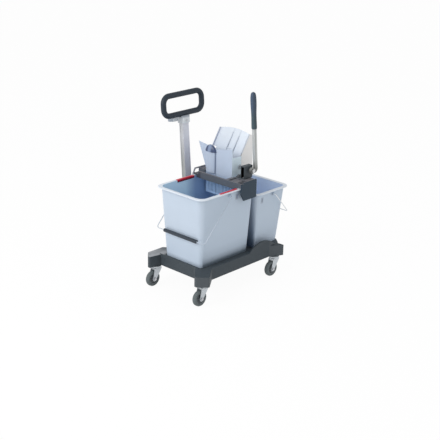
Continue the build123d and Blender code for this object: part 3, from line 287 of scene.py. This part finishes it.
def bucket_painted_shade(finish, base):
    """Painted shade on both buckets: darker on the near side and towards the foot, and around their marks.
    """
    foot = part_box("large_bucket")[0].z
    near = finish.faces("Y", full=-0.98, gone=-0.85, most=0.7)
    low = finish.fade("Z", full=foot + 60 * mm, gone=foot + 170 * mm, most=0.6)
    # Painted shade on the near faces and towards the foot
    base = finish.mix(near, base, tint(182, 197, 213))
    base = finish.mix(low, base, tint(177, 192, 209))
    for mark_x, mark_z in mark_places.values():
        across = finish.band(finish.spot("X") - mark_x, full=7 * mm, gone=11 * mm)
        along = finish.band(finish.spot("Z") - mark_z, full=12 * mm, gone=17 * mm)
        # Painted shade around each recessed mark
        base = finish.mix(across * along * near * 0.9, base, tint(150, 158, 174))
    return base


def painted_foot_shadow(finish, base):
    """Painted contact shadow at the foot of the large bucket, higher up on its near side."""
    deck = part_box("large_bucket")[0].z + 17 * mm
    near = finish.faces("Y", full=-0.98, gone=-0.85)
    line = finish.fade("Z", full=deck, gone=deck + 13 * mm, most=0.22)
    close = finish.fade("Z", full=deck, gone=deck + 35 * mm, most=0.35)
    wide = finish.fade("Z", full=deck, gone=deck + 73 * mm, most=0.25)
    return finish.mix(line + (close + wide) * near, bucket_painted_shade(finish, base), tint(60, 74, 85))


def gap_shade(finish, base):
    """Painted shade on the side of the small bucket that stands against the large one, most at its foot."""
    low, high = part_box("small_bucket")
    inner = finish.faces("X", full=-0.9, gone=-0.45)
    lower = finish.fade("Z", full=low.z + 20 * mm, gone=high.z - 30 * mm, most=0.95, least=0.3)
    return finish.mix(inner * lower, bucket_painted_shade(finish, base), tint(72, 92, 118))


def shaded_inside(finish, base):
    """Painted shade on the large bucket's inside beside the press."""
    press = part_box("press_frame")[0].x
    right_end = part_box("large_bucket")[1].x
    beside = finish.fade("X", full=press + 4 * mm, gone=press - 58 * mm, most=0.7)
    within = finish.fade("X", full=right_end - 1 * mm, gone=right_end)
    return finish.mix(beside * within, base, tint(114, 142, 194))


def clip_shade(finish, base):
    """The flanges of the clips are darker than their tops."""
    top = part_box("front_colour_clip")[1].z
    return finish.mix(finish.fade("Z", full=top - 9 * mm, gone=top - 3 * mm), base, tint(92, 10, 26))


def bail_painted_light_and_shade(finish, base):
    """Painted shade on the near leg of the large bail, and painted light on the small bail."""
    near = finish.fade("Y", full=-60 * mm, gone=-30 * mm)
    left = finish.fade("X", full=60 * mm, gone=90 * mm)
    right = finish.fade("X", full=160 * mm, gone=150 * mm)
    base = finish.mix(right, base, tint(232, 236, 240))
    return finish.mix(near * left, base, tint(180, 191, 204))


def post_shade(finish, base):
    """Painted shade: the post is darker towards its foot, most on its left face."""
    left = finish.faces("X", full=-0.9, gone=-0.5)
    lower = finish.fade("Z", full=540 * mm, gone=660 * mm, most=0.45)
    base = finish.mix(lower, base, tint(170, 174, 188))
    return finish.mix(left * (lower + 0.55), base, tint(158, 161, 161))


def collar_painted_light_and_shade(finish, base):
    """Painted shadow under the loop, painted light on the near face, painted shade on the left face and on
    the holder behind.
    """
    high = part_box("handle_collar")[1]
    near = finish.faces("Y", full=-0.9, gone=-0.5)
    left = finish.faces("X", full=-0.9, gone=-0.5, most=0.6)
    behind = finish.fade("Y", full=high.y + 3 * mm, gone=high.y, most=0.8)
    top = finish.fade("Z", full=high.z - 4 * mm, gone=high.z - 14 * mm, most=0.75)
    base = finish.mix(near, base, tint(220, 226, 230))
    base = finish.mix(left, base, tint(170, 176, 182))
    base = finish.mix(behind, base, tint(140, 150, 162))
    return finish.mix(top, base, tint(110, 120, 134))


def frame_marks(finish, base):
    """The plate outside the near rim is bluer, the far end of the bar darker with painted shade, and the far
    plate paler.
    """
    low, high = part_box("press_frame")
    bar_end = finish.fade("Y", full=high.y - 46 * mm, gone=high.y - 58 * mm, most=0.75)
    front = finish.fade("X", full=low.x + 26 * mm, gone=low.x + 30 * mm)
    far_plate = finish.fade("Y", full=high.y - 7 * mm, gone=high.y - 10 * mm, most=0.75)
    near_plate = finish.fade("Y", full=low.y + 6 * mm, gone=low.y + 8 * mm)
    # Painted shade on the far end of the bar
    base = finish.mix(bar_end * front, base, tint(50, 53, 62))
    base = finish.mix(far_plate, base, tint(150, 154, 164))
    return finish.mix(near_plate, base, tint(39, 57, 72))


def hopper_painted_light_and_shade(finish, base):
    """Painted shade beside the half-round column, darker and bluer painted shade on the foot inside the
    bucket, painted light on the near side.
    """
    low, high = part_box("column_cap")
    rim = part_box("large_bucket")[1].z
    near_side = finish.faces("Y", full=-0.95, gone=-0.8)
    foot = finish.fade("Z", full=rim - 10 * mm, gone=rim + 10 * mm, most=0.8)
    crease = finish.band(finish.spot("Y") - (low.y + 3 * mm), full=1.5 * mm, gone=5 * mm)
    before = finish.fade("X", full=high.x - 1 * mm, gone=high.x + 1 * mm)
    under_cap = finish.fade("Z", full=low.z, gone=low.z + 3 * mm)
    base = finish.mix(near_side, base, tint(226, 244, 255))
    base = finish.mix(foot, base, tint(157, 188, 224))
    # Painted shade in the crease beside the column
    return finish.mix(crease * before * under_cap, base, tint(98, 112, 140))


def panel_shade(finish, base):
    """Shade gathers along the two ribs and the far edge, more towards their feet."""
    low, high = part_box("back_panel")
    foot = finish.fade("Z", full=low.z + 20 * mm, gone=low.z + 90 * mm, most=0.65)
    edge = finish.fade("Y", full=high.y - 4 * mm, gone=high.y - 9 * mm, most=0.7)
    lower = finish.fade("Z", full=low.z + 20 * mm, gone=high.z, most=0.7, least=0.14)
    base = finish.mix(foot, base, tint(205, 215, 228))
    base = finish.mix(edge, base, tint(176, 182, 200))
    for rib_y in panel_ribs_y:
        rib = finish.band(finish.spot("Y") - rib_y, full=2.2 * mm, gone=6 * mm)
        base = finish.mix(rib * lower, base, tint(132, 143, 158))
    return base


def cap_painted_highlight(finish, base):
    """Painted highlight over the middle of the cap."""
    low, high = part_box("column_cap")
    middle = finish.band(finish.spot("Y") - (low.y + high.y) / 2, full=5 * mm, gone=14 * mm)
    return finish.mix(middle, base, tint(130, 146, 174))


def hood_painted_shade(finish, base):
    """Painted shade: what stands inside the bracket is dark."""
    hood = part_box("lever_bracket")[0].y + hood_depth
    return finish.mix(finish.fade("Y", full=hood - 1 * mm, gone=hood + 1 * mm), base, tint(26, 26, 28))


def lever_painted_shade(finish, base):
    """Painted shade on the lever towards its foot and in the groove of its near face."""
    low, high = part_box("lever_arm")
    middle = (low + high) / 2
    across = finish.spot("X") - middle.x + (finish.spot("Z") - middle.z) * tan(lever_lean)
    near = finish.faces("Y", full=-0.95, gone=-0.8, most=0.6)
    groove = finish.band(across, full=1.2 * mm, gone=3.2 * mm) * near
    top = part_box("lever_bracket")[1].z
    foot = finish.fade("Z", full=top - 20 * mm, gone=top + 26 * mm, most=0.7)
    base = finish.mix(groove, base, tint(112, 114, 114))
    return finish.mix(foot, base, tint(92, 91, 88))


def grip_tone_and_painted_shade(finish, base):
    """The upper half of the grip is bluer, and its near side darker with painted shade."""
    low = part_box("lever_grip")[0].z
    upper = finish.fade("Z", full=low + 110 * mm, gone=low + 60 * mm)
    near = finish.faces("Y", full=-0.95, gone=-0.3, most=0.5)
    base = finish.mix(upper, base, tint(68, 84, 106))
    return finish.mix(near, base, tint(44, 52, 58))


bucket_blue = tint(188, 201, 216)
finishes = {
    "base_plastic": moulded(
        "charcoal moulding",
        tint(62, 70, 76),
        rough=0.55,
        grain=480,
        grain_depth=0.12 * mm,
        mottle=0.06,
        scuff_top=160 * mm,
        marked=ear_painted_light,
        ior=1.35,
    ),
    "bucket_plastic": bucket_moulded("blue grey bucket", bucket_blue, rough=0.4, marked=painted_foot_shadow),
    "clip_plastic": moulded(
        "red clip", tint(204, 30, 54), rough=0.3, grain=500, grain_depth=0.02 * mm, marked=clip_shade
    ),
    "wire_steel": plated("dull wire", tint(196, 205, 214), rough=0.5, metallic=0.1, marked=bail_painted_light_and_shade),
    "sleeve_plastic": moulded("dark sleeve", tint(46, 55, 66), rough=0.45),
    "post_aluminium": plated(
        "drawn aluminium post",
        tint(222, 224, 232),
        rough=0.45,
        streak=(60, 60, 0.6),
        scale=8,
        metallic=0.2,
        marked=post_shade,
    ),
    "collar_plastic": moulded("pale collar", tint(194, 199, 204), rough=0.42, marked=collar_painted_light_and_shade),
    "loop_plastic": moulded(
        "dark loop", tint(40, 51, 62), rough=0.5, grain=420, grain_depth=0.1 * mm, ior=1.4
    ),
    "frame_plastic": moulded(
        "dark frame",
        tint(90, 95, 103),
        rough=0.5,
        grain=480,
        grain_depth=0.1 * mm,
        mottle=0.06,
        dust=tint(122, 120, 125),
        marked=frame_marks,
        ior=1.4,
    ),
    "hopper_plastic": moulded("lilac grey hopper", tint(185, 198, 217), rough=0.42, marked=hopper_painted_light_and_shade),
    "panel_plastic": moulded("pale panel", tint(222, 230, 240), rough=0.42, marked=panel_shade),
    "cover_plastic": moulded("warm grey cover", tint(240, 239, 238), rough=0.45),
    "cap_plastic": moulded("dark blue cap", tint(64, 78, 110), rough=0.3, marked=cap_painted_highlight),
    "plate_plastic": moulded("press plate grey", tint(176, 188, 204), rough=0.45),
    "bush_plastic": moulded("pale bush", tint(190, 200, 208), rough=0.4, marked=hood_painted_shade),
    "shaft_steel": plated(
        "turned steel", tint(160, 165, 171), rough=0.4, streak=(1, 30, 1), metallic=0.6, marked=hood_painted_shade
    ),
    "lever_aluminium": plated(
        "lever aluminium",
        tint(198, 201, 200),
        rough=0.42,
        streak=(40, 40, 0.6),
        scale=8,
        metallic=0.5,
        marked=lever_painted_shade,
    ),
    "lever_grip_rubber": rubber("slate grip", tint(66, 85, 93), rough=0.55, dust=0.05, marked=grip_tone_and_painted_shade),
    "screw_steel": plated("zinc screw", tint(205, 206, 208), rough=0.3),
    "caster_steel": plated("zinc pressing", tint(198, 204, 209), rough=0.36, metallic=0.6),
    "axle_steel": plated("axle steel", tint(190, 191, 195), rough=0.32),
    "hub_plastic": moulded("wheel centre", tint(104, 110, 114), rough=0.5),
    "tyre_rubber": rubber("grey tyre", tint(95, 103, 105), rough=0.75),
}
small_outside = bucket_moulded("small bucket", bucket_blue, rough=0.4, marked=gap_shade)
# Paler, bluer copies of the bucket plastic for the insides: painted light
large_inside_painted_light = bucket_moulded(
    "bucket inside", tint(205, 234, 255), rough=0.45, mottle=0.03, marked=shaded_inside
)
small_inside_painted_light = bucket_moulded("small bucket inside", tint(212, 229, 255), rough=0.45, mottle=0.03)
# Paler copy of the bucket plastic for the lip: painted highlight
rim_highlight_finish = bucket_moulded("bucket rim", tint(220, 228, 237), rough=0.35, grain_depth=0.02 * mm)
# Darker plastic on the faces of the recessed marks: painted shade
mark_shade_finish = moulded("shaded mark", tint(146, 157, 172), rough=0.45)
bracket_finish = moulded(
    "dark bracket", tint(66, 73, 79), rough=0.5, grain=480, grain_depth=0.1 * mm, ior=1.4
)
# Near black for the inside of the bracket's hollow: painted shade
hollow_shade_finish = moulded("unlit hollow", tint(20, 19, 20), rough=0.8, ior=1.2)
for node, slot in slot_of.items():
    mesh = nodes[node].data
    mesh.materials.clear()
    mesh.materials.append(finishes[slot])


def merged(node):
    """Copy of a CAD piece's mesh with its loose triangles joined into faces."""
    form = bmesh.new()
    form.from_mesh(nodes[node].data)
    bmesh.ops.remove_doubles(form, verts=form.verts, dist=weld)
    bmesh.ops.dissolve_limit(form, angle_limit=flat_angle, verts=form.verts, edges=form.edges)
    return form


def corner_edges(form, low=-inf, high=inf):
    """Sharp outer edges between faces that are large enough to round, between two heights."""
    return [
        edge
        for edge in form.edges
        if edge.is_manifold
        and edge.calc_face_angle_signed() > corner_angle
        and min(face.calc_area() for face in edge.link_faces) > least_face
        and all(low < vert.co.z < high for vert in edge.verts)
    ]


def round_edges(form, edges, width, segments=2):
    """Rounds edges by a width in mm."""
    bmesh.ops.bevel(
        form,
        geom=edges,
        offset=width * mm,
        affect="EDGES",
        segments=segments,
        profile=0.5,
        material=-1,
        clamp_overlap=False,
    )


def dressed(form, name, node, *finish_list):
    """Makes a modelled piece that rides with a CAD node and has its material, or those listed."""
    mesh = bpy.data.meshes.new(name)
    form.to_mesh(mesh)
    form.free()
    for finish in finish_list or (finishes[slot_of[node]],):
        mesh.materials.append(finish)
    mesh.shade_smooth()
    mesh.set_sharp_from_angle(angle=corner_angle)
    piece = bpy.data.objects.new(name, mesh)
    bpy.context.scene.collection.objects.link(piece)
    even = piece.modifiers.new("even shading", "WEIGHTED_NORMAL")
    even.keep_sharp = True
    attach(piece, body_of[node])
    return piece


def stand_in(form, name, node, *finish_list):
    """Makes a modelled piece that takes the place of a CAD node."""
    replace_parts(dressed(form, name, node, *finish_list), node)


def soften(node, width=0.0, segments=2):
    """A CAD piece with smooth shading, and edges rounded by a width in mm."""
    form = merged(node)
    if width:
        round_edges(form, corner_edges(form), width, segments)
    stand_in(form, node + "_soft", node)


def spun(form, profile, start, axis, across, steps=48):
    """Profile of radius and height points, in mm, turned about an axis."""
    verts = [form.verts.new(start + (across * radius + axis * height) * mm) for radius, height in profile]
    edges = [form.edges.new(pair) for pair in zip(verts, verts[1:])]
    bmesh.ops.spin(
        form, geom=verts + edges, cent=start, axis=axis, angle=2 * pi, steps=steps, use_merge=True
    )
    bmesh.ops.remove_doubles(form, verts=form.verts, dist=weld)
    bmesh.ops.recalc_face_normals(form, faces=form.faces)


def both_sides(outline, middle=()):
    """Closed profile from its half on one side of a wheel, and any points in the wheel's middle."""
    other_side = [(radius, -height) for radius, height in outline]
    return other_side + list(middle) + outline[::-1] + other_side[:1]


def bar(form, size, place, turn=None):
    """Small rounded bar, in mm, at a place in metres."""
    made = bmesh.ops.create_cube(form, size=mm)["verts"]
    bmesh.ops.scale(form, vec=size, verts=made)
    edges = list({edge for vert in made for edge in vert.link_edges})
    corner = min(size) / 4 * mm
    rounded = bmesh.ops.bevel(
        form, geom=edges, offset=corner, affect="EDGES", segments=2, profile=0.5, material=-1
    )
    verts = list({vert for face in rounded["faces"] for vert in face.verts})
    if turn:
        bmesh.ops.rotate(form, cent=(0, 0, 0), matrix=turn, verts=verts)
    bmesh.ops.translate(form, vec=place, verts=verts)


def base_deck():
    """Base with rounded edges, except at the thin wall of its right end."""
    node = "base_deck"
    form = merged(node)
    thin_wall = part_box(node)[1].x - 8 * mm
    edges = [edge for edge in corner_edges(form) if all(vert.co.x < thin_wall for vert in edge.verts)]
    round_edges(form, edges, width=3, segments=3)
    stand_in(form, node + "_soft", node)


def bucket(node, outside, inside):
    """Rounded foot, painted highlight on the lip, a bluer inside with painted light, painted shade on the
    mark of its near side.
    """
    form = merged(node)
    low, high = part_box(node)
    middle = (low + high) / 2
    lip = high.z - 6 * mm
    floor_top = low.z + 20 * mm
    near_side = low.y + 40 * mm
    mark_x, mark_z = mark_places[node]
    mark_half_width, mark_half_height = 5 * mm, 11 * mm
    round_edges(form, corner_edges(form, high=low.z + 1 * mm), width=5, segments=3)
    round_edges(form, corner_edges(form, low=lip), width=1.2, segments=3)
    for face in form.faces:
        spot = face.calc_center_median()
        outward = Vector((spot.x - middle.x, spot.y - middle.y, 0)).normalized()
        inner_wall = face.normal.dot(outward) < -0.3
        inner_floor = face.normal.z > 0.9 and spot.z < floor_top
        on_mark = abs(spot.x - mark_x) < mark_half_width and abs(spot.z - mark_z) < mark_half_height
        if inner_wall or inner_floor:
            face.material_index = 2
        elif spot.z > lip:
            face.material_index = 3
        elif on_mark and abs(face.normal.y) > 0.99 and spot.y < near_side:
            face.material_index = 1
    stand_in(form, node + "_shell", node, outside, mark_shade_finish, inside, rim_highlight_finish)


def lever_bracket():
    """Bracket with rounded outer edges, and its hollow painted dark as shade."""
    node = "lever_bracket"
    form = merged(node)
    low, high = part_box(node)
    hollow = Vector(((low.x + high.x) / 2, low.y + hood_depth / 2, (low.z + high.z) / 2))
    wall = 3.5 * mm
    round_edges(form, corner_edges(form), width=1.4, segments=3)
    for face in form.faces:
        spot = face.calc_center_median()
        within = all(least + wall < place < most - wall for least, place, most in zip(low, spot, high))
        if within and face.normal.z < 0.9 and face.normal.dot(hollow - spot) > 0:
            face.material_index = 1
    stand_in(form, node + "_soft", node, bracket_finish, hollow_shade_finish)


def grooved(node, sides, margin, depth):
    """Metal bar with a shallow groove along its outermost faces on some sides, in mm."""
    form = merged(node)
    reach = 40 * mm
    for side in sides:
        outward = Vector(side)
        faces = [face for face in form.faces if face.normal.dot(outward) > 0.995]
        furthest = max(face.calc_center_median().dot(outward) for face in faces)
        outer = [face for face in faces if face.calc_center_median().dot(outward) > furthest - reach]
        bmesh.ops.inset_region(
            form, faces=outer, thickness=margin * mm, depth=-depth * mm, use_even_offset=True
        )
    stand_in(form, node + "_drawn", node)


def screws(node, axis, inset, depth):
    """Screws with a round recess in each head, in mm."""
    form = merged(node)
    outward = Vector(axis)
    caps = [face for face in form.faces if face.normal.dot(outward) > 0.99 and face.calc_area() > least_face]
    bmesh.ops.inset_individual(
        form, faces=caps, thickness=inset * mm, depth=-depth * mm, use_even_offset=True
    )
    stand_in(form, node + "_headed", node)


def caster_wheel(place):
    """Ribbed wheel centre and a domed grey tyre."""
    tyre = "caster_tyre_" + place
    hub = "caster_hub_" + place
    low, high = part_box(tyre)
    hub_low, hub_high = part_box(hub)
    axle = (low + high) / 2
    side, up = Vector((0, 1, 0)), Vector((0, 0, 1))

    radius = (high.z - low.z) / 2 / mm
    half = (high.y - low.y) / 2 / mm
    rim = (hub_high.z - hub_low.z) / 2 / mm
    tread = [
        (rim, half - 1),
        (rim + 3, half),
        (radius - 5.5, half),
        (radius - 2.4, half - 1.6),
        (radius - 0.7, half - 4.5),
    ]
    form = bmesh.new()
    spun(form, both_sides(tread, [(radius, 0)]), axle, side, up, steps=64)
    stand_in(form, tyre + "_turned", tyre)

    bore, boss_radius, boss = 4.2, 10, (hub_high.y - hub_low.y) / 2 / mm
    web, rim_half = 2.8, 9
    wheel = [
        (bore, boss),
        (boss_radius - 1.4, boss),
        (boss_radius - 0.4, boss - 1),
        (boss_radius, web + 0.4),
        (boss_radius + 1, web),
        (rim - 5, web),
        (rim - 4.2, web + 0.6),
        (rim - 3.6, rim_half - 1),
        (rim - 0.2, rim_half),
    ]
    form = bmesh.new()
    spun(form, both_sides(wheel), axle, side, up, steps=64)
    ribs, rib_width, rib_depth = 8, 3, 13
    rib_start = boss_radius - 1
    rib_length = rim - 3.8 - rib_start
    for index in range(ribs):
        turn = Matrix.Rotation(2 * pi * index / ribs, 3, "Y")
        middle = axle + turn @ (up * (rib_start + rib_length / 2) * mm)
        bar(form, (rib_width, rib_depth, rib_length), middle, turn)
    stand_in(form, hub + "_ribbed", hub)


def lever_grip():
    """Slate grip with a slight waist below its middle and a domed top."""
    low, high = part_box("lever_grip")
    solid_radius, length = 14, 176
    along = Vector((-sin(lever_lean), 0, cos(lever_lean)))
    across = Vector((cos(lever_lean), 0, sin(lever_lean)))
    dome_centre = Vector((low.x + solid_radius * mm, (low.y + high.y) / 2, high.z - solid_radius * mm))
    start = dome_centre + along * (solid_radius - length) * mm
    bore_radius, bore_end, foot_end = 10.8, 160, 6
    bore = [(0, bore_end), (bore_radius, bore_end), (bore_radius, foot_end)]
    foot = [(11.6, foot_end), (12.4, 7.5), (12.7, 11)]
    waist = [(12.6, 20), (12.2, 40), (11.9, 62), (12.2, 80)]
    swell = [(13.0, 98), (13.7, 116), (13.9, 128), (13.7, 142), (13.2, 154)]
    dome = [(12.2, 163), (10.2, 169.5), (7.4, 173.4), (4, 175.5), (0, length)]
    form = bmesh.new()
    spun(form, bore + foot + waist + swell + dome, start, along, across)
    stand_in(form, "lever_grip_turned", "lever_grip")


def platform_ridges():
    """Raised ridges along the top of the frame beside the near rim."""
    frame_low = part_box("press_frame")[0]
    bracket_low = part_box("lever_bracket")[0]
    left = frame_low.x + 24 * mm
    right = bracket_low.x - 6 * mm
    ridges, first, pitch = 3, 15 * mm, 11 * mm
    width, height = 4, 5
    middle_z = bracket_low.z - 3.2 * mm
    form = bmesh.new()
    for step in range(ridges):
        place = Vector(((left + right) / 2, frame_low.y + first + pitch * step, middle_z))
        bar(form, ((right - left) / mm, width, height), place)
    dressed(form, "platform_ridges", "press_frame")


def casters():
    """Four casters: turned wheel, fork, axle and stem."""
    for side in ("left", "right"):
        for end in ("front", "rear"):
            place = f"{side}_{end}"
            caster_wheel(place)
            soften("caster_fork_" + place, width=0.8)
            soften("caster_axle_" + place, width=1)
            soften("caster_stem_" + place, width=0.6)


base_deck()
bucket("large_bucket", finishes["bucket_plastic"], large_inside_painted_light)
bucket("small_bucket", small_outside, small_inside_painted_light)
for node in ("large_bail", "small_bail", "handle_loop"):
    soften(node)
for node in ("large_bail_grip", "small_bail_grip", "lever_shaft", "shaft_bushes", "lever_bolt"):
    soften(node, width=1)
for node in ("front_colour_clip", "rear_colour_clip"):
    soften(node, width=0.7)
grooved("handle_post", ((0, -1, 0), (0, 1, 0), (-1, 0, 0), (1, 0, 0)), margin=5, depth=0.6)
grooved("lever_arm", ((0, -1, 0), (0, 1, 0)), margin=3.5, depth=1.2)
soften("handle_collar", width=2, segments=3)
soften("tool_holder", width=1.5)
soften("press_frame", width=1.2)
soften("column_cap", width=0.8)
soften("drain_grid", width=0.5)
for node in ("press_hopper", "back_panel", "rear_cover", "press_plate"):
    soften(node, width=1)
lever_bracket()
screws("post_screws", axis=(0, 1, 0), inset=3.2, depth=1.4)
screws("collar_screw", axis=(0, -1, 0), inset=3.2, depth=1.4)
screws("cover_screws", axis=(1, 0, 0), inset=2.2, depth=1.1)
screws("frame_screws", axis=(0, 0, 1), inset=2.4, depth=1.2)
lever_grip()
platform_ridges()
casters()


def studio():
    """White floor that keeps the shadow, soft lamps and a white surround."""
    bpy.ops.mesh.primitive_plane_add(size=floor_width)
    floor = bpy.context.object
    floor.name = "floor"
    surface = Finish("pale floor", Roughness=0.9)
    surface.set("Base Color", tint(250, 250, 250))
    rays = ("Is Camera Ray", "Is Glossy Ray", "Is Transmission Ray")
    camera_ray, *other_rays = (surface.node("ShaderNodeLightPath", output=kind) for kind in rays)
    seen = sum(other_rays, camera_ray)
    white = surface.node("ShaderNodeEmission", None, {"Color": (1, 1, 1, 1), "Strength": 1.0})
    plain = Value(surface, surface.shader.outputs[0])
    both = surface.node("ShaderNodeMixShader", None, {0: seen * floor_white, 1: plain, 2: white})
    surface.feed(surface.tree.nodes["Material Output"].inputs["Surface"], both)
    floor.data.materials.append(surface.material)
    world = bpy.data.worlds.new("studio")
    bpy.context.scene.world = world
    world.use_nodes = True
    surround = world.node_tree.nodes["Background"].inputs
    surround["Color"].default_value = (1, 1, 1, 1)
    surround["Strength"].default_value = surround_strength
    for name, (place, size, power) in lamps.items():
        lamp = bpy.data.lights.new(name, "AREA")
        lamp.size = size
        lamp.energy = power
        holder = bpy.data.objects.new(name, lamp)
        bpy.context.scene.collection.objects.link(holder)
        holder.location = place
        holder.rotation_euler = (lamp_aim - Vector(place)).to_track_quat("-Z", "Y").to_euler()


def photographer():
    """Camera at the photograph's angle."""
    right = Vector((cos(camera_turn), sin(camera_turn), 0))
    level_back = Vector((sin(camera_turn), -cos(camera_turn), 0))
    back = level_back * cos(camera_rise) + Vector((0, 0, sin(camera_rise)))
    up = back.cross(right)
    tilted_right = right * cos(camera_roll) + up * sin(camera_roll)
    tilted_up = up * cos(camera_roll) - right * sin(camera_roll)
    lens = bpy.data.cameras.new("camera")
    lens.lens = camera_lens
    lens.sensor_width = camera_sensor
    lens.clip_end = camera_reach
    holder = bpy.data.objects.new("camera", lens)
    bpy.context.scene.collection.objects.link(holder)
    turn = Matrix((tilted_right, tilted_up, back)).transposed()
    holder.matrix_world = Matrix.Translation(camera_aim + back * camera_distance) @ turn.to_4x4()
    bpy.context.scene.camera = holder


studio()
photographer()
bpy.context.scene.view_settings.view_transform = "Standard"
